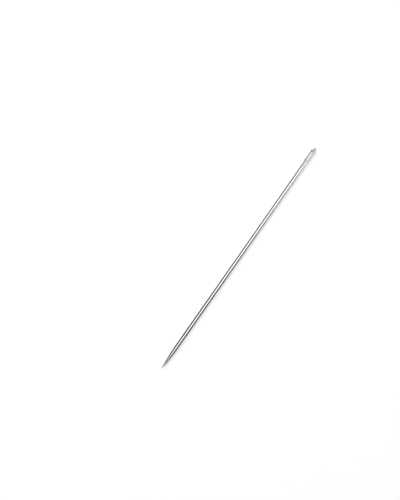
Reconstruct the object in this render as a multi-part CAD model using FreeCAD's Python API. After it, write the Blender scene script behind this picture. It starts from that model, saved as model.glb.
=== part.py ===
"""Hand sewing needle: one piece of steel wire, pointed at one end and stamped with a long eye at the other.

The needle lies as it comes to rest on a table, with its flattened head facing up. X runs along the needle,
with the point at -X and the eye at +X, Y runs across it and Z is up. The origin is on the table, under the
middle of the needle. All sizes are in millimetres.
"""

import FreeCAD
import Part

import math
import os

# Sizes of the whole needle
OVERALL_LENGTH = 64.0
SHANK_DIAMETER = 0.86

# Sizes of the ground point
POINT_LENGTH = 6.6
POINT_TIP_RADIUS = 0.02

# Sizes of the stamped head: the neck spreads the round wire into a flat oval, and the crown closes it
HEAD_WIDTH = 1.04
HEAD_THICKNESS = 0.66
NECK_LENGTH = 1.3
CROWN_LENGTH = 1.12
NECK_STEPS = 8
CROWN_STEPS = 8

# Sizes of the eye
EYE_LENGTH = 2.6
EYE_WIDTH = 0.56
EYE_RIM_RADIUS = 0.08
EYE_RIM_WALL_SHARE = 0.4

# Sizes of the gutters that lead the thread into both ends of the eye, on both faces
GUTTER_SIDE_CLEARANCE = 0.01
SHANK_GUTTER_LENGTH = 1.2
SHANK_GUTTER_DEPTH = 0.18
CROWN_GUTTER_LENGTH = 1.0
CROWN_GUTTER_DEPTH = 0.22

# Places and half sizes that follow from the sizes above
SHANK_RADIUS = SHANK_DIAMETER / 2
AXIS_Z = SHANK_RADIUS
POINT_X = -OVERALL_LENGTH / 2
CROWN_X = OVERALL_LENGTH / 2
SHOULDER_X = POINT_X + POINT_LENGTH
EYE_FAR_X = CROWN_X - CROWN_LENGTH
EYE_NEAR_X = EYE_FAR_X - EYE_LENGTH
NECK_X = EYE_NEAR_X - NECK_LENGTH
THINNEST_WALL = HEAD_THICKNESS - 2 * max(SHANK_GUTTER_DEPTH, CROWN_GUTTER_DEPTH)
RIM_RADIUS = min(EYE_RIM_RADIUS, EYE_RIM_WALL_SHARE * THINNEST_WALL)
ALONG = FreeCAD.Vector(1, 0, 0)
ACROSS = FreeCAD.Vector(0, 1, 0)
UP = FreeCAD.Vector(0, 0, 1)


def at(x, y=0.0, height=0.0):
    """A point given by its distance along the needle, across it, and above its axis."""
    return FreeCAD.Vector(x, y, AXIS_Z + height)


def point_and_shank():
    """Turned wire: a tangent ogive with a fine round tip, running into the straight shank."""
    tip_centre = at(POINT_X + POINT_TIP_RADIUS)
    run = SHOULDER_X - tip_centre.x
    rise = SHANK_RADIUS - POINT_TIP_RADIUS
    ogive_radius = (run**2 / rise + SHANK_RADIUS + POINT_TIP_RADIUS) / 2
    ogive_centre = at(SHOULDER_X, 0, SHANK_RADIUS - ogive_radius)

    def on_ogive(towards):
        return ogive_centre + (towards - ogive_centre).normalize() * ogive_radius

    tip_end = on_ogive(tip_centre)
    shoulder = at(SHOULDER_X, 0, SHANK_RADIUS)
    middle = on_ogive((tip_end + shoulder) / 2)
    tip = at(POINT_X)
    half_turn = (tip_end - tip_centre).getAngle(-ALONG) / 2
    tip_middle = tip_centre + FreeCAD.Vector(-math.cos(half_turn), 0, math.sin(half_turn)) * POINT_TIP_RADIUS
    neck_top = at(NECK_X, 0, SHANK_RADIUS)
    neck_centre = at(NECK_X)
    outline = Part.Wire(
        [
            Part.Arc(tip, tip_middle, tip_end).toShape(),
            Part.Arc(tip_end, middle, shoulder).toShape(),
            Part.makeLine(shoulder, neck_top),
            Part.makeLine(neck_top, neck_centre),
            Part.makeLine(neck_centre, tip),
        ]
    )
    return Part.Face(outline).revolve(at(0), ALONG, 360)


def oval(x, half_width, half_thickness):
    """A cross-section of the head: an ellipse that lies flat."""
    ellipse = Part.Ellipse(at(x, half_width), at(x, 0, half_thickness), at(x))
    return Part.Wire([ellipse.toShape()])


def head_blank():
    """Loft from the round shank through the flattened oval of the eye to the rounded crown."""
    half_width = HEAD_WIDTH / 2
    half_thickness = HEAD_THICKNESS / 2
    sections = []
    for step in range(NECK_STEPS + 1):
        share = step / NECK_STEPS
        spread = share * share * (3 - 2 * share)
        sections.append(
            oval(
                NECK_X + NECK_LENGTH * share,
                SHANK_RADIUS + (half_width - SHANK_RADIUS) * spread,
                SHANK_RADIUS + (half_thickness - SHANK_RADIUS) * spread,
            )
        )
    for share in (0.25, 0.5, 0.75, 1.0):
        sections.append(oval(EYE_NEAR_X + EYE_LENGTH * share, half_width, half_thickness))
    for step in range(1, CROWN_STEPS):
        turn = math.pi / 2 * step / CROWN_STEPS
        sections.append(
            oval(
                EYE_FAR_X + CROWN_LENGTH * math.sin(turn),
                half_width * math.cos(turn),
                half_thickness * math.cos(turn),
            )
        )
    sections.append(Part.Vertex(at(CROWN_X)))
    return Part.makeLoft(sections, True, False)


def eye_punch():
    """The slot that pierces the head, with round ends."""
    radius = EYE_WIDTH / 2
    near = EYE_NEAR_X + radius
    far = EYE_FAR_X - radius
    floor = -HEAD_THICKNESS
    outline = Part.Wire(
        [
            Part.makeLine(at(near, radius, floor), at(far, radius, floor)),
            Part.Arc(at(far, radius, floor), at(EYE_FAR_X, 0, floor), at(far, -radius, floor)).toShape(),
            Part.makeLine(at(far, -radius, floor), at(near, -radius, floor)),
            Part.Arc(at(near, -radius, floor), at(EYE_NEAR_X, 0, floor), at(near, radius, floor)).toShape(),
        ]
    )
    return Part.Face(outline).extrude(UP * 2 * HEAD_THICKNESS)


def gutter_stamp(eye_end_x, length, depth, side):
    """A round-nosed stamp that sinks to its full depth at one end of the eye and runs out along the head."""
    sweep_radius = (length**2 + depth**2) / (2 * depth)
    nose_radius = EYE_WIDTH / 2 - GUTTER_SIDE_CLEARANCE
    centre_height = side * (HEAD_THICKNESS / 2 - depth + sweep_radius)
    return Part.makeTorus(sweep_radius - nose_radius, nose_radius, at(eye_end_x, 0, centre_height), ACROSS)


def eye_rims(solid):
    """The edges around both mouths of the eye, where the thread would rub."""
    room = RIM_RADIUS / 100
    half_width = EYE_WIDTH / 2
    rims = []
    for edge in solid.Edges:
        box = edge.BoundBox
        inside = box.XMin > EYE_NEAR_X - room and box.XMax < EYE_FAR_X + room
        inside = inside and box.YMin > -half_width - room and box.YMax < half_width + room
        upright = box.XLength < room and box.YLength < room
        if inside and not upright:
            rims.append(edge)
    return rims


def needle():
    """The whole needle, one solid."""
    wire = point_and_shank().fuse(head_blank()).Solids[0]
    pierced = wire.cut(eye_punch())
    for side in (1, -1):
        pierced = pierced.cut(gutter_stamp(EYE_NEAR_X, SHANK_GUTTER_LENGTH, SHANK_GUTTER_DEPTH, side))
        pierced = pierced.cut(gutter_stamp(EYE_FAR_X, CROWN_GUTTER_LENGTH, CROWN_GUTTER_DEPTH, side))
    pierced = pierced.Solids[0]
    return pierced.makeFillet(RIM_RADIUS, eye_rims(pierced))


def main():
    """Builds the needle and writes it to parts/needle.step."""
    os.makedirs("parts", exist_ok=True)
    solid = needle()
    solid.exportStep("parts/needle.step")
    box = solid.BoundBox
    print(
        f"needle: {len(solid.Solids)} solid, valid {solid.isValid()}, {len(solid.Faces)} faces, "
        f"{solid.Volume:.3f} mm3, {box.XLength:.3f} x {box.YLength:.3f} x {box.ZLength:.3f} mm"
    )


main()
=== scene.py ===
"""Looks of a hand sewing needle: a plated steel wire with a ground point and a stamped head with a long eye.

The needle lies along X with its point at -X, and its eye opens upwards. Everything is in metres, in the frame
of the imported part, and the needle's length, wire and head width are read from that part.
"""

from __future__ import annotations

import logging
import math
from dataclasses import dataclass, field
from enum import Enum

import bpy
import numpy as np
from mathutils import Euler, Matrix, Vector

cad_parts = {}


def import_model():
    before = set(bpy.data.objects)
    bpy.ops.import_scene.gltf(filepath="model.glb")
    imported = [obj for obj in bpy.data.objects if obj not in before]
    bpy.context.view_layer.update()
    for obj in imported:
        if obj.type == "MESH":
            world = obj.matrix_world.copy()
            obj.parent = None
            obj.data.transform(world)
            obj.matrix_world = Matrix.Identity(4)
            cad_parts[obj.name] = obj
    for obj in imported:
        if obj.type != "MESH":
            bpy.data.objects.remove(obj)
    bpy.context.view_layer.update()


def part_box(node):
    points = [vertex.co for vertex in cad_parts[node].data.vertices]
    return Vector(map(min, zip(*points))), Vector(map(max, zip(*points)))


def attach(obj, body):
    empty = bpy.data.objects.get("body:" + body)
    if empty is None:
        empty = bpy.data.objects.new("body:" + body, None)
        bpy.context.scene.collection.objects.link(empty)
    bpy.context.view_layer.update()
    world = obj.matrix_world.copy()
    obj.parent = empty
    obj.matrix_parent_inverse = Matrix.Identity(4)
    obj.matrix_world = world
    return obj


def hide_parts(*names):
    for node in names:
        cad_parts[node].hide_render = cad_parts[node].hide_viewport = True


MM = 0.001
WELD_STEP = 1e-9
WHITE = (1.0, 1.0, 1.0, 1.0)

Socket = bpy.types.NodeSocket

log = logging.getLogger("needle")


class Side(Enum):
    """The two mirrored halves of the needle, split by the upright plane along its axis."""

    LEFT = 1.0
    RIGHT = -1.0


class Spread(Enum):
    """How places are spaced between the start and the end of a stretch."""

    EVEN = "even"
    CLOSE_AT_START = "close at start"
    CLOSE_AT_END = "close at end"
    CLOSE_AT_BOTH = "close at both"


def places(start: float, end: float, count: int, spread: Spread) -> np.ndarray:
    """Places along a stretch.

    A share t runs evenly from 0 to 1. It is used as it is, or as 1 - cos(90 t), sin(90 t) or
    (1 - cos(180 t)) / 2 with angles in degrees, which crowd the places at the start, the end or both.

    Args:
        start: where the stretch begins.
        end: where it ends.
        count: the number of places, both ends included.
        spread: which of the four spacings is used.

    Returns:
        The places in order, with exact ends.
    """
    share = np.linspace(0.0, 1.0, count)
    bent = {
        Spread.EVEN: share,
        Spread.CLOSE_AT_START: 1.0 - np.cos(share * math.pi / 2),
        Spread.CLOSE_AT_END: np.sin(share * math.pi / 2),
        Spread.CLOSE_AT_BOTH: (1.0 - np.cos(share * math.pi)) / 2,
    }[spread]
    found = start + (end - start) * bent
    found[0], found[-1] = start, end
    return found


def smooth_step(share: np.ndarray) -> np.ndarray:
    """Rises from 0 to 1 as 3 t^2 - 2 t^3, and is flat outside."""
    t = np.clip(share, 0.0, 1.0)
    return t * t * (3.0 - 2.0 * t)


def grid_faces(rows: int, columns: int, offset: int = 0) -> np.ndarray:
    """Quads of a grid whose vertices are numbered row by row.

    Args:
        rows: the number of rows of vertices.
        columns: the number of vertices in a row.
        offset: the number of the grid's first vertex.

    Returns:
        An array of four vertex numbers for each quad.
    """
    corner = np.arange(rows - 1)[:, None] * columns + np.arange(columns - 1)[None, :] + offset
    quads = np.stack([corner, corner + columns, corner + columns + 1, corner + 1], axis=-1)
    return quads.reshape(-1, 4)


def weld(vertices: np.ndarray, quads: np.ndarray) -> tuple[np.ndarray, list[list[int]]]:
    """Joins vertices that share a place, and turns quads with a closed edge into triangles.

    Args:
        vertices: the points, three numbers each.
        quads: four vertex numbers for each face.

    Returns:
        The points that are left, and the faces as lists of three or four vertex numbers.
    """
    keys = np.round(vertices / WELD_STEP).astype(np.int64)
    _, first, number = np.unique(keys, axis=0, return_index=True, return_inverse=True)
    joined = number.reshape(-1)[quads]
    same = joined == np.roll(joined, -1, axis=1)
    whole = joined[same.sum(axis=1) == 0]
    closed = joined[same.sum(axis=1) == 1]
    edge = same[same.sum(axis=1) == 1].argmax(axis=1)
    order = (edge[:, None] + np.array([1, 2, 3])) % 4
    triangles = np.take_along_axis(closed, order, axis=1)
    return vertices[first], whole.tolist() + triangles.tolist()


@dataclass
class Point:
    """The ground point: a small round tip that runs into the wire along one arc.

    The arc touches the wire without a corner. Its radius is ((run^2 / rise) + wire + tip) / 2, where run is
    the way from the tip's centre to the shoulder and rise is what the wire gains over the tip.
    """

    start: float
    wire_radius: float
    length: float = 6.6 * MM
    tip_radius: float = 0.02 * MM
    tip_steps: int = 10
    arc_steps: int = 40

    @property
    def shoulder(self) -> float:
        """Where the point ends and the straight wire begins."""
        return self.start + self.length

    @property
    def arc_radius(self) -> float:
        """The radius of the long arc."""
        run = self.length - self.tip_radius
        rise = self.wire_radius - self.tip_radius
        return (run**2 / rise + self.wire_radius + self.tip_radius) / 2

    @property
    def tip_end(self) -> float:
        """Where the round tip touches the long arc, on the line between their two centres."""
        lean = (self.length - self.tip_radius) / (self.arc_radius - self.tip_radius)
        return self.start + self.tip_radius * (1.0 - lean)

    def stations(self) -> np.ndarray:
        """Places along the point, close together at the tip."""
        tip = places(self.start, self.tip_end, self.tip_steps, Spread.CLOSE_AT_START)
        arc = places(self.tip_end, self.shoulder, self.arc_steps, Spread.CLOSE_AT_START)
        return np.concatenate([tip, arc[1:]])

    def radius(self, x: np.ndarray) -> np.ndarray:
        """Half the thickness: a circle's height over the tip, the long arc's height behind it.

        Args:
            x: places along the needle.

        Returns:
            The radius at each place.
        """
        centre = self.start + self.tip_radius
        tip = np.sqrt(np.clip(self.tip_radius**2 - (x - centre) ** 2, 0.0, None))
        short = np.clip(self.shoulder - x, 0.0, None)
        arc = np.sqrt(self.arc_radius**2 - short**2) - (self.arc_radius - self.wire_radius)
        return np.where(x < self.tip_end, tip, arc)


@dataclass
class Eye:
    """The slot through the head, with round ends and a rounded rim."""

    near: float
    far: float
    half_width: float = 0.28 * MM
    rim_radius: float = 0.08 * MM
    arc_steps: int = 26
    side_steps: int = 18
    wall_steps: int = 12

    def stations(self) -> np.ndarray:
        """Places along the slot, close together where its round ends begin."""
        arc = places(self.near, self.near + self.half_width, self.arc_steps, Spread.CLOSE_AT_START)
        side = places(arc[-1], self.far - self.half_width, self.side_steps, Spread.EVEN)
        far_arc = places(side[-1], self.far, self.arc_steps, Spread.CLOSE_AT_END)
        return np.concatenate([arc, side[1:], far_arc[1:]])

    def centre(self, x: np.ndarray) -> np.ndarray:
        """The nearest place on the slot's middle line."""
        return np.clip(x, self.near + self.half_width, self.far - self.half_width)

    def edge(self, x: np.ndarray) -> np.ndarray:
        """Half the slot's width: a straight side between two half circles, and nothing outside them."""
        off = x - self.centre(x)
        return np.sqrt(np.clip(self.half_width**2 - off**2, 0.0, None))

    def rim_drop(self, x: np.ndarray, y: np.ndarray) -> np.ndarray:
        """How far the rounded rim lies below the face: a quarter circle over the distance from the slot.

        Args:
            x: places along the needle.
            y: places across it.

        Returns:
            The drop, from the rim's radius at the slot to nothing a radius away.
        """
        away = np.clip(np.hypot(x - self.centre(x), y) - self.half_width, 0.0, self.rim_radius)
        return self.rim_radius - np.sqrt(self.rim_radius**2 - (self.rim_radius - away) ** 2)


@dataclass
class Gutter:
    """A spoon-shaped groove that leads the thread to one end of the eye.

    Its floor is the underside of a ring that stands upright along the needle: the ring's tube has the
    groove's nose radius, and its outer radius is (length^2 + depth^2) / (2 depth).
    """

    eye_end: float
    length: float
    depth: float
    face_height: float
    nose_radius: float = 0.27 * MM

    @property
    def sweep(self) -> float:
        """The ring's outer radius."""
        return (self.length**2 + self.depth**2) / (2 * self.depth)

    def run(self, height: float) -> float:
        """How far from the eye's end the middle of the floor has risen to a height over the axis."""
        left = self.sweep - self.depth + self.face_height - height
        return math.sqrt(self.sweep**2 - left**2)

    def floor(self, x: np.ndarray, y: np.ndarray) -> np.ndarray:
        """Height of the groove's floor over the needle's axis.

        Args:
            x: places along the needle.
            y: places across it.

        Returns:
            The height, or a height above the needle where the groove doesn't reach.
        """
        inside = self.nose_radius**2 - y**2
        reach = self.sweep - self.nose_radius + np.sqrt(np.clip(inside, 0.0, None))
        under = np.clip(reach**2 - (x - self.eye_end) ** 2, 0.0, None)
        height = self.face_height - self.depth + self.sweep - np.sqrt(under)
        return np.where(inside > 0.0, height, height + self.nose_radius)


@dataclass
class Head:
    """The stamped head: the wire spreads into a flat oval at the neck, and a round crown closes it."""

    end: float
    wire_radius: float
    half_width: float
    half_thickness: float = 0.33 * MM
    neck_length: float = 1.3 * MM
    crown_length: float = 1.12 * MM
    eye_length: float = 2.6 * MM
    shank_gutter_length: float = 1.2 * MM
    shank_gutter_depth: float = 0.18 * MM
    crown_gutter_length: float = 1.0 * MM
    crown_gutter_depth: float = 0.22 * MM
    crease_radius: float = 0.012 * MM
    crease_reach: float = 5.0
    crease_fade: float = 4.0
    neck_steps: int = 92
    crown_steps: int = 56
    eye: Eye = field(init=False)
    gutters: list[Gutter] = field(init=False)

    def __post_init__(self) -> None:
        """Places the eye and the gutters at its two ends."""
        far = self.end - self.crown_length
        near = far - self.eye_length
        self.eye = Eye(near, far)
        self.gutters = [
            Gutter(near, self.shank_gutter_length, self.shank_gutter_depth, self.half_thickness),
            Gutter(far, self.crown_gutter_length, self.crown_gutter_depth, self.half_thickness),
        ]

    @property
    def neck(self) -> float:
        """Where the straight wire ends and the neck begins."""
        return self.eye.near - self.neck_length

    @property
    def start(self) -> float:
        """Where the shank's gutter has run out on the wire, a little before the neck."""
        return self.eye.near - self.gutters[0].run(self.wire_radius + self.crease_reach * self.crease_radius)

    def stations(self) -> np.ndarray:
        """Places along the head, close together at the ends of the eye's sides and of the crown."""
        neck = places(self.start, self.eye.near, self.neck_steps, Spread.EVEN)
        crown = places(self.eye.far, self.end, self.crown_steps, Spread.CLOSE_AT_BOTH)
        return np.concatenate([neck, self.eye.stations()[1:], crown[1:]])

    def spread(self, x: np.ndarray) -> np.ndarray:
        """The share of the head's flat form at each place, from 0 on the wire to 1 at the eye."""
        return smooth_step((x - self.neck) / self.neck_length)

    def close(self, x: np.ndarray) -> np.ndarray:
        """The crown's share of the full section: the height of a quarter circle."""
        turn = np.clip((x - self.eye.far) / self.crown_length, 0.0, 1.0)
        return np.sqrt(1.0 - turn**2)

    def stamp(self, x: np.ndarray, y: np.ndarray, height: np.ndarray) -> np.ndarray:
        """Presses the gutters into the face and rounds the eye's rim.

        The face and a gutter's floor are joined by a soft minimum, -k ln(exp(-a / k) + exp(-b / k)), which
        rounds the crease between them.

        Args:
            x: places along the needle.
            y: places across it.
            height: the plain face's height over the axis.

        Returns:
            The stamped face's height.
        """
        k = self.crease_radius
        pressed = height
        for gutter in self.gutters:
            floor = gutter.floor(x, y)
            lower = np.minimum(pressed, floor)
            pressed = lower - k * np.log1p(np.exp(-np.abs(pressed - floor) / k))
        sunk = np.where(height > 0.0, height - pressed, 0.0)
        fade = smooth_step(height / (self.crease_fade * k))
        return np.maximum(height - sunk * fade - self.eye.rim_drop(x, y), 0.0)


@dataclass
class Needle:
    """The whole needle as one closed skin."""

    low: Vector
    high: Vector
    name: str = "sewing_needle"
    wire_steps: int = 40
    quarter_steps: int = 64
    point: Point = field(init=False)
    head: Head = field(init=False)

    def __post_init__(self) -> None:
        """Takes the length, the wire and the head's width from the part's box."""
        wire_radius = (self.high.z - self.low.z) / 2
        self.point = Point(self.low.x, wire_radius)
        self.head = Head(self.high.x, wire_radius, (self.high.y - self.low.y) / 2)

    @property
    def axis_height(self) -> float:
        """Height of the needle's axis over the table."""
        return (self.low.z + self.high.z) / 2

    def stations(self) -> np.ndarray:
        """All places along the needle, from the tip to the crown."""
        wire = places(self.point.shoulder, self.head.start, self.wire_steps, Spread.EVEN)
        return np.concatenate([self.point.stations(), wire[1:], self.head.stations()[1:]])

    def half_axes(self, x: np.ndarray) -> tuple[np.ndarray, np.ndarray]:
        """Half the width and half the thickness of the oval section.

        Args:
            x: places along the needle.

        Returns:
            The half width and the half thickness at each place, before the face is stamped.
        """
        radius = self.point.radius(x)
        spread, close = self.head.spread(x), self.head.close(x)
        width = (radius + (self.head.half_width - radius) * spread) * close
        thickness = (radius + (self.head.half_thickness - radius) * spread) * close
        return width, thickness

    def outer_skin(self, x: np.ndarray) -> np.ndarray:
        """The left half of the outside, as a grid of points.

        A row goes from the middle of the upper face, or the eye's edge, round the side to the same place
        below. A point at angle p from the middle lies at (half width sin p, half thickness cos p), and the
        angles crowd at the eye's edge along the head.

        Args:
            x: places along the needle.

        Returns:
            An array of rows, columns and three coordinates.
        """
        width, thickness = self.half_axes(x)
        safe = np.maximum(width, WELD_STEP)
        start = np.arcsin(np.clip(self.head.eye.edge(x) / safe, 0.0, 1.0))
        even = places(0.0, 1.0, self.quarter_steps + 1, Spread.EVEN)
        close = places(0.0, 1.0, self.quarter_steps + 1, Spread.CLOSE_AT_START)
        mix = self.head.spread(x)[:, None]
        share = even * (1.0 - mix) + close * mix
        angle = start[:, None] + (math.pi / 2 - start[:, None]) * share
        y = width[:, None] * np.sin(angle)
        height = self.head.stamp(x[:, None] + 0.0 * y, y, thickness[:, None] * np.cos(angle))
        height[:, -1] = 0.0
        across = np.concatenate([y, y[:, -2::-1]], axis=1)
        upright = np.concatenate([height, -height[:, -2::-1]], axis=1)
        along = np.broadcast_to(x[:, None], across.shape)
        return np.stack([along, across, upright + self.axis_height], axis=-1)

    def eye_wall(self, skin: np.ndarray, x: np.ndarray) -> np.ndarray:
        """The left wall of the eye, as a grid of points from the lower rim straight up to the upper one.

        Args:
            skin: the outer skin's grid.
            x: its places along the needle.

        Returns:
            An array of rows, columns and three coordinates.
        """
        along_eye = (x >= self.head.eye.near) & (x <= self.head.eye.far)
        lower, upper = skin[along_eye, -1], skin[along_eye, 0]
        share = np.linspace(0.0, 1.0, self.head.eye.wall_steps + 1)[None, :, None]
        wall = lower[:, None] * (1.0 - share) + upper[:, None] * share
        wall[:, 0], wall[:, -1] = lower, upper
        return wall

    def build(self) -> bpy.types.Object:
        """Joins the two mirrored halves into one closed mesh.

        Returns:
            The needle's object, at the origin.
        """
        x = self.stations()
        skin = self.outer_skin(x)
        wall = self.eye_wall(skin, x)
        grids = [skin, wall]
        points = np.concatenate([g.reshape(-1, 3) for g in grids])
        faces = np.concatenate(
            [grid_faces(*skin.shape[:2]), grid_faces(*wall.shape[:2], offset=skin[..., 0].size)]
        )
        halves, quads = [], []
        for number, side in enumerate(Side):
            halves.append(points * np.array([1.0, side.value, 1.0]))
            ordered = faces if side is Side.LEFT else faces[:, ::-1]
            quads.append(ordered + number * len(points))
        vertices, polygons = weld(np.concatenate(halves), np.concatenate(quads))
        mesh = bpy.data.meshes.new(self.name)
        mesh.from_pydata(vertices.tolist(), [], polygons)
        mesh.polygons.foreach_set("use_smooth", np.ones(len(polygons), dtype=bool))
        mesh.validate()
        mesh.update()
        piece = bpy.data.objects.new(self.name, mesh)
        bpy.context.scene.collection.objects.link(piece)
        return piece

    def dress(self, piece: bpy.types.Object, finish: SteelFinish) -> None:
        """Gives the needle its steel and puts it in the part's place."""
        piece.data.materials.append(finish.material(self))
        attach(piece, "root")
        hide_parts("needle")


class NodeTree:
    """A small helper that adds nodes to a tree and links them by socket name."""

    def __init__(self, tree: bpy.types.NodeTree) -> None:
        """Takes the tree that the nodes go into."""
        self.tree = tree

    def add(self, kind: str, settings: dict | None = None, **inputs: object) -> bpy.types.Node:
        """Adds a node.

        Args:
            kind: the node's type name.
            settings: the node's own properties.
            inputs: a value or an output socket for each input, whose spaces are written as underscores.

        Returns:
            The new node.
        """
        node = self.tree.nodes.new(kind)
        for key, value in (settings or {}).items():
            setattr(node, key, value)
        for key, value in inputs.items():
            self.feed(node, key.replace("_", " "), value)
        return node

    def feed(self, node: bpy.types.Node, socket: str | int, value: object) -> None:
        """Links an output to a node's input, or sets the input's own value."""
        if isinstance(value, Socket):
            self.tree.links.new(value, node.inputs[socket])
        else:
            node.inputs[socket].default_value = value

    def math(self, operation: str, first: object, second: object = 0.0) -> Socket:
        """Adds a math node with the given operation on two values and returns its result."""
        node = self.add("ShaderNodeMath", {"operation": operation})
        self.feed(node, 0, first)
        self.feed(node, 1, second)
        return node.outputs[0]

    def ramp(
        self, value: object, low: float, high: float, start: float = 0.0, end: float = 1.0
    ) -> Socket:
        """Maps low..high smoothly to start..end and returns the result."""
        node = self.add("ShaderNodeMapRange", {"interpolation_type": "SMOOTHSTEP"})
        for number, given in enumerate((value, low, high, start, end)):
            self.feed(node, number, given)
        return node.outputs["Result"]

    def mix(self, share: object, first: object, second: object) -> Socket:
        """Mixes two colours and returns the result.

        The node's colours are its inputs 6 and 7, and its mixed colour is output 2.

        Args:
            share: the share of the second colour.
            first: the colour at a share of 0.
            second: the colour at a share of 1.

        Returns:
            The mixed colour.
        """
        node = self.add("ShaderNodeMix", {"data_type": "RGBA"}, Factor=share)
        self.feed(node, 6, first)
        self.feed(node, 7, second)
        return node.outputs[2]


def new_group(name: str, inputs: dict[str, float], outputs: dict[str, str]) -> bpy.types.NodeTree:
    """Makes an empty shader node group with named sockets.

    Args:
        name: the group's name.
        inputs: each number input's name and default.
        outputs: each output's name and socket type.

    Returns:
        The group, with its input and output nodes in place.
    """
    group = bpy.data.node_groups.new(name, "ShaderNodeTree")
    group.interface.new_socket("Vector", in_out="INPUT", socket_type="NodeSocketVector")
    for label, default in inputs.items():
        socket = group.interface.new_socket(label, in_out="INPUT", socket_type="NodeSocketFloat")
        socket.default_value = default
    for label, kind in outputs.items():
        group.interface.new_socket(label, in_out="OUTPUT", socket_type=kind)
    group.nodes.new("NodeGroupInput")
    group.nodes.new("NodeGroupOutput")
    return group


def polish_lines() -> bpy.types.NodeTree:
    """Fine lines that a buffing wheel leaves along the wire: noise stretched along X.

    Returns:
        The group, whose Lines output runs around one half.
    """
    group = new_group(
        "polish_lines",
        {"Width": 0.03 * MM, "Stretch": 60.0, "Strength": 1.0},
        {"Lines": "NodeSocketFloat"},
    )
    tree = NodeTree(group)
    source, result = group.nodes["Group Input"], group.nodes["Group Output"]
    squeeze = tree.math("DIVIDE", 1.0, source.outputs["Stretch"])
    shape = tree.add("ShaderNodeCombineXYZ", X=squeeze, Y=1.0, Z=1.0)
    stretched = tree.add("ShaderNodeVectorMath", {"operation": "MULTIPLY"})
    tree.feed(stretched, 0, source.outputs["Vector"])
    tree.feed(stretched, 1, shape.outputs[0])
    fineness = tree.math("DIVIDE", 1.0, source.outputs["Width"])
    noise = tree.add(
        "ShaderNodeTexNoise", Vector=stretched.outputs[0], Scale=fineness, Detail=3.0, Roughness=0.6
    )
    centred = tree.math("SUBTRACT", noise.outputs["Fac"], 0.5)
    scaled = tree.math("MULTIPLY", centred, source.outputs["Strength"])
    tree.feed(result, "Lines", tree.math("ADD", scaled, 0.5))
    return group


def plating_mottle() -> bpy.types.NodeTree:
    """Soft clouds of tone in a plated surface: two sizes of plain noise, added.

    Returns:
        The group, whose Mottle output runs around one half.
    """
    group = new_group("plating_mottle", {"Size": 1.0 * MM, "Strength": 1.0}, {"Mottle": "NodeSocketFloat"})
    tree = NodeTree(group)
    source, result = group.nodes["Group Input"], group.nodes["Group Output"]
    coarse = tree.math("DIVIDE", 1.0, source.outputs["Size"])
    fine = tree.math("MULTIPLY", coarse, 5.0)
    clouds = tree.add("ShaderNodeTexNoise", Vector=source.outputs["Vector"], Scale=coarse, Detail=2.0)
    specks = tree.add("ShaderNodeTexNoise", Vector=source.outputs["Vector"], Scale=fine, Detail=4.0)
    both = tree.math("ADD", clouds.outputs["Fac"], specks.outputs["Fac"])
    centred = tree.math("SUBTRACT", both, 1.0)
    scaled = tree.math("MULTIPLY", centred, source.outputs["Strength"])
    tree.feed(result, "Mottle", tree.math("ADD", scaled, 0.5))
    return group


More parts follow.
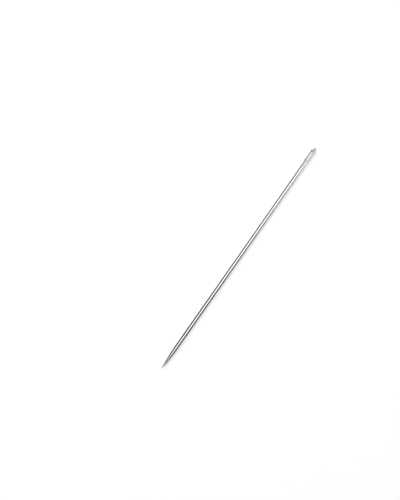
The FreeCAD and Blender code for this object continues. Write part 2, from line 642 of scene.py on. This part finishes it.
@dataclass(frozen=True)
class SteelFinish:
    """Bright plated steel, duller where the head was stamped, with painted shade towards the point, in the
    gutters and on the eye's rim.
    """

    name: str = "needle"
    bright: tuple[float, float, float, float] = (0.54, 0.54, 0.535, 1.0)
    # the dull colour is also the colour of the painted shade
    dull_and_shaded: tuple[float, float, float, float] = (0.40, 0.395, 0.385, 1.0)
    roughness: float = 0.08
    line_width: float = 0.035 * MM
    mottle_size: float = 1.6 * MM
    bump_height: float = 0.0006 * MM
    bump_strength: float = 0.5
    line_share: float = 0.35
    mottle_share: float = 0.40
    # painted shade: the steel darkens towards the point
    point_shade_share: float = 0.30
    head_share: float = 0.10
    # duller stamped steel and painted shade in the gutters
    gutter_shade_share: float = 0.80
    # painted shade on the eye's rounded rim
    rim_shade_share: float = 0.30
    gutter_middle: float = 0.6
    gutter_fade: float = 0.4 * MM
    rim_fade: float = 0.5

    def material(self, needle: Needle) -> bpy.types.Material:
        """Builds the steel's material.

        The dulling is a sum of shares: the polish lines, the mottle, the painted shade towards the point, the
        stamped head, the duller steel and painted shade of its gutters and the painted shade on its eye's
        rim.
        It mixes the bright colour with the dull and shaded one, and the roughness rises with it.

        Args:
            needle: the needle whose point, head and eye the finish follows.

        Returns:
            The material.
        """
        material = bpy.data.materials.new(self.name)
        material.use_nodes = True
        material.node_tree.nodes.clear()
        tree = NodeTree(material.node_tree)
        place = tree.add("ShaderNodeTexCoord").outputs["Object"]
        lines = tree.add("ShaderNodeGroup", {"node_tree": polish_lines()}, Vector=place)
        tree.feed(lines, "Width", self.line_width)
        mottle = tree.add("ShaderNodeGroup", {"node_tree": plating_mottle()}, Vector=place)
        tree.feed(mottle, "Size", self.mottle_size)
        shares = (
            (lines.outputs["Lines"], self.line_share),
            (mottle.outputs["Mottle"], self.mottle_share),
            # painted shade towards the point
            (self.point_shade(tree, place, needle), self.point_shade_share),
            (self.stamped_head(tree, place, needle.head), self.head_share),
            # duller stamped steel and painted shade in the gutters
            (self.gutters(tree, place, needle.head), self.gutter_shade_share),
            # painted shade on the eye's rim
            (self.rim_shade(tree, place, needle.head.eye), self.rim_shade_share),
        )
        dulling_and_shade = 0.0
        for mask, share in shares:
            dulling_and_shade = tree.math("ADD", dulling_and_shade, tree.math("MULTIPLY", mask, share))
        # the dull colour carries the painted shade too
        colour = tree.mix(dulling_and_shade, self.bright, self.dull_and_shaded)
        rough = tree.math("ADD", tree.math("MULTIPLY", dulling_and_shade, self.roughness), self.roughness)
        bump = tree.add("ShaderNodeBump", Height=lines.outputs["Lines"], Strength=self.bump_strength)
        tree.feed(bump, "Distance", self.bump_height)
        shader = tree.add(
            "ShaderNodeBsdfPrincipled",
            Base_Color=colour,
            Metallic=1.0,
            Roughness=rough,
            Normal=bump.outputs["Normal"],
        )
        tree.add("ShaderNodeOutputMaterial", Surface=shader.outputs[0])
        return material

    def point_shade(self, tree: NodeTree, place: Socket, needle: Needle) -> Socket:
        """Painted shade towards the point: a rise with the way back from the needle's middle."""
        x = tree.add("ShaderNodeSeparateXYZ", Vector=place).outputs["X"]
        middle = (needle.low.x + needle.high.x) / 2
        return tree.ramp(x, middle, needle.point.shoulder)

    def stamped_head(self, tree: NodeTree, place: Socket, head: Head) -> Socket:
        """The head: a rise along the neck."""
        x = tree.add("ShaderNodeSeparateXYZ", Vector=place).outputs["X"]
        return tree.ramp(x, head.neck, head.eye.near)

    def gutters(self, tree: NodeTree, place: Socket, head: Head) -> Socket:
        """Duller stamped steel and painted shade in the gutters: the strip between their outer ends, as wide
        as their round nose.
        """
        parts = tree.add("ShaderNodeSeparateXYZ", Vector=place).outputs
        nose = head.gutters[0].nose_radius
        start = head.eye.near - head.shank_gutter_length
        end = head.eye.far + head.crown_gutter_length
        inner = tree.ramp(tree.math("ABSOLUTE", parts["Y"]), nose, self.gutter_middle * nose)
        after = tree.ramp(parts["X"], start, start + self.gutter_fade)
        before = tree.ramp(parts["X"], end, end - self.gutter_fade)
        return tree.math("MULTIPLY", inner, tree.math("MULTIPLY", after, before))

    def rim_shade(self, tree: NodeTree, place: Socket, eye: Eye) -> Socket:
        """Painted shade on the eye's rounded rim: a fall with the distance from the slot's middle line."""
        parts = tree.add("ShaderNodeSeparateXYZ", Vector=place).outputs
        held = tree.math("MAXIMUM", parts["X"], eye.near + eye.half_width)
        held = tree.math("MINIMUM", held, eye.far - eye.half_width)
        off = tree.math("SUBTRACT", parts["X"], held)
        away = tree.add("ShaderNodeCombineXYZ", X=off, Y=parts["Y"])
        distance = tree.add("ShaderNodeVectorMath", {"operation": "LENGTH"})
        tree.feed(distance, 0, away.outputs[0])
        edge = eye.half_width + eye.rim_radius
        fade = self.rim_fade * eye.rim_radius
        return tree.ramp(distance.outputs["Value"], edge + fade, edge - fade)


@dataclass(frozen=True)
class TableTop:
    """The plain white table, which shows as white with the needle's shadow on it.

    In the steel it is a painted shade, a grey that rises from the first to the second mirrored tone over the
    stretch mirrored_shade_along, darkest towards the needle's point.
    """

    size: float = 4.0
    colour: tuple[float, float, float, float] = (0.72, 0.72, 0.72, 1.0)
    # painted shade: the table's tones in the steel's reflection, darker than its own colour
    mirrored: tuple[float, float] = (0.02, 0.58)
    mirrored_shade_along: tuple[float, float] = (-32.0 * MM, 20.0 * MM)
    lift: float = 0.34

    def build(self) -> bpy.types.Object:
        """Makes the table's top, one square at the needle's resting height."""
        half = self.size / 2
        corners = [(-half, -half, 0.0), (half, -half, 0.0), (half, half, 0.0), (-half, half, 0.0)]
        mesh = bpy.data.meshes.new("table_top")
        mesh.from_pydata(corners, [], [(0, 1, 2, 3)])
        table = bpy.data.objects.new("table_top", mesh)
        bpy.context.scene.collection.objects.link(table)
        mesh.materials.append(self.material())
        return table

    def material(self) -> bpy.types.Material:
        """Paints the table: a plain diffuse white, lifted for the camera.

        Where the steel mirrors the table it is painted greyer as a painted shade, darkest towards the
        needle's point.
        """
        material = bpy.data.materials.new("table_top")
        material.use_nodes = True
        material.node_tree.nodes.clear()
        tree = NodeTree(material.node_tree)
        rays = tree.add("ShaderNodeLightPath").outputs
        lift = tree.math("MULTIPLY", rays["Is Camera Ray"], self.lift)
        glow = tree.add("ShaderNodeEmission", Strength=lift)
        place = tree.add("ShaderNodeTexCoord").outputs["Object"]
        along = tree.add("ShaderNodeSeparateXYZ", Vector=place).outputs["X"]
        # painted shade in the reflection: the grey that glossy rays see instead of the table's colour
        mirrored_shade = tree.ramp(along, *self.mirrored_shade_along, *self.mirrored)
        tone = tree.mix(rays["Is Glossy Ray"], self.colour, mirrored_shade)
        paint = tree.add("ShaderNodeBsdfDiffuse", Color=tone)
        both = tree.add("ShaderNodeAddShader")
        tree.feed(both, 0, paint.outputs[0])
        tree.feed(both, 1, glow.outputs[0])
        tree.add("ShaderNodeOutputMaterial", Surface=both.outputs[0])
        return material


@dataclass(frozen=True)
class Panel:
    """A square soft lamp that faces the needle's middle and isn't mirrored in it."""

    name: str
    place: tuple[float, float, float]
    size: float
    brightness: float

    def hang(self) -> None:
        """Adds the lamp, whose power is its brightness times pi times its area."""
        data = bpy.data.lights.new(self.name, "AREA")
        data.shape = "SQUARE"
        data.size = self.size
        data.energy = self.brightness * math.pi * self.size**2
        lamp = bpy.data.objects.new(self.name, data)
        lamp.location = self.place
        lamp.rotation_euler = (-lamp.location).to_track_quat("-Z", "Y").to_euler()
        lamp.visible_glossy = False
        bpy.context.scene.collection.objects.link(lamp)


@dataclass(frozen=True)
class Wall:
    """A white wall that only the steel mirrors: a rise with X, times a rise with Y where one is given."""

    brightness: float
    along: tuple[float, float]
    across: tuple[float, float] | None = None

    def level(self, tree: NodeTree, along: Socket, across: Socket) -> Socket:
        """The wall's brightness in the direction with these parts along X and Y."""
        level = tree.ramp(along, *self.along, 0.0, self.brightness)
        if self.across is None:
            return level
        return tree.math("MULTIPLY", level, tree.ramp(across, *self.across))


@dataclass(frozen=True)
class Studio:
    """A dark room with a softbox overhead, one key panel, and white walls that only the steel mirrors.

    The walls stand beyond the needle's head, left and right of the head, and low on the right of the wire.
    """

    softbox: float = 2.8
    softbox_edge: tuple[float, float] = (0.76, 0.92)
    softbox_start: tuple[float, float] = (-0.52, -0.06)
    softbox_end: tuple[float, float] = (0.50, 0.25)
    softbox_turn: float = 0.25
    walls: tuple[Wall, ...] = (
        Wall(1.0, (0.06, 0.45)),
        Wall(3.0, (0.10, 0.35), (0.30, 0.60)),
        Wall(2.4, (0.09, 0.12), (-0.50, -0.80)),
        Wall(2.0, (0.00, 0.12), (-0.80, -0.95)),
    )
    panels: tuple[Panel, ...] = (Panel("key_panel", (0.25, 0.43, 0.39), 0.36, 7.2),)

    def light(self) -> None:
        """Sets the world and hangs the panels."""
        self.world()
        for panel in self.panels:
            panel.hang()

    def world(self) -> None:
        """Paints the room by the direction's parts, and shows plain white to what looks past the table.

        The softbox is a rise with Z times a rise and a fall with X, of which the rise is turned a little
        about Z. The brightest of it and the walls is mirrored, and the softbox alone lights the table.
        """
        world = bpy.data.worlds.new("studio")
        world.use_nodes = True
        world.node_tree.nodes.clear()
        tree = NodeTree(world.node_tree)
        direction = tree.add("ShaderNodeTexCoord").outputs["Generated"]
        along, across, up = tree.add("ShaderNodeSeparateXYZ", Vector=direction).outputs
        turned = tree.math("ADD", along, tree.math("MULTIPLY", across, self.softbox_turn))
        level = tree.ramp(up, *self.softbox_edge, 0.0, self.softbox)
        level = tree.math("MULTIPLY", level, tree.ramp(turned, *self.softbox_start))
        level = tree.math("MULTIPLY", level, tree.ramp(along, *self.softbox_end))
        rays = tree.add("ShaderNodeLightPath").outputs
        for wall in self.walls:
            mirrored = tree.math("MULTIPLY", wall.level(tree, along, across), rays["Is Glossy Ray"])
            level = tree.math("MAXIMUM", level, mirrored)
        room = tree.add("ShaderNodeBackground", Color=WHITE, Strength=level)
        plain = tree.add("ShaderNodeBackground", Color=WHITE, Strength=1.0)
        mix = tree.add("ShaderNodeMixShader")
        tree.feed(mix, 0, rays["Is Camera Ray"])
        tree.feed(mix, 1, room.outputs[0])
        tree.feed(mix, 2, plain.outputs[0])
        tree.add("ShaderNodeOutputWorld", Surface=mix.outputs[0])
        bpy.context.scene.world = world


@dataclass(frozen=True)
class View:
    """The photograph's view: straight down on the table, with the needle's head at the upper right.

    The frame's height, the needle's length and the place of its middle, right of the frame's middle and
    below it, are in pixels.
    """

    frame_height: float = 500.0
    needle_pixels: float = 268.8
    needle_lean: float = math.radians(55.1)
    middle_right: float = 38.49
    middle_down: float = 8.12
    distance: float = 0.3
    sensor: float = 36.0

    def place(self, length: float) -> None:
        """Adds the camera.

        Args:
            length: the needle's length, which spans a known number of pixels in the photograph.
        """
        pixel = length / self.needle_pixels
        data = bpy.data.cameras.new("camera")
        data.sensor_width = self.sensor
        data.lens = self.sensor * self.distance / (self.frame_height * pixel)
        data.clip_start = 0.01
        camera = bpy.data.objects.new("camera", data)
        turn = Euler((0.0, 0.0, -self.needle_lean))
        shift = Vector((-self.middle_right * pixel, self.middle_down * pixel, self.distance))
        shift.rotate(turn)
        camera.location = shift
        camera.rotation_euler = turn
        bpy.context.scene.collection.objects.link(camera)
        bpy.context.scene.camera = camera


def main() -> None:
    """Loads the frame, then builds the needle, the table, the light and the view in order."""
    logging.basicConfig(level=logging.INFO, format="%(name)s: %(message)s")
    bpy.context.scene.view_settings.view_transform = "Standard"
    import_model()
    needle = Needle(*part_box("needle"))
    piece = needle.build()
    needle.dress(piece, SteelFinish())
    log.info("%s: %d faces", piece.name, len(piece.data.polygons))
    TableTop().build()
    Studio().light()
    View().place(needle.high.x - needle.low.x)


if __name__ == "__main__":
    main()
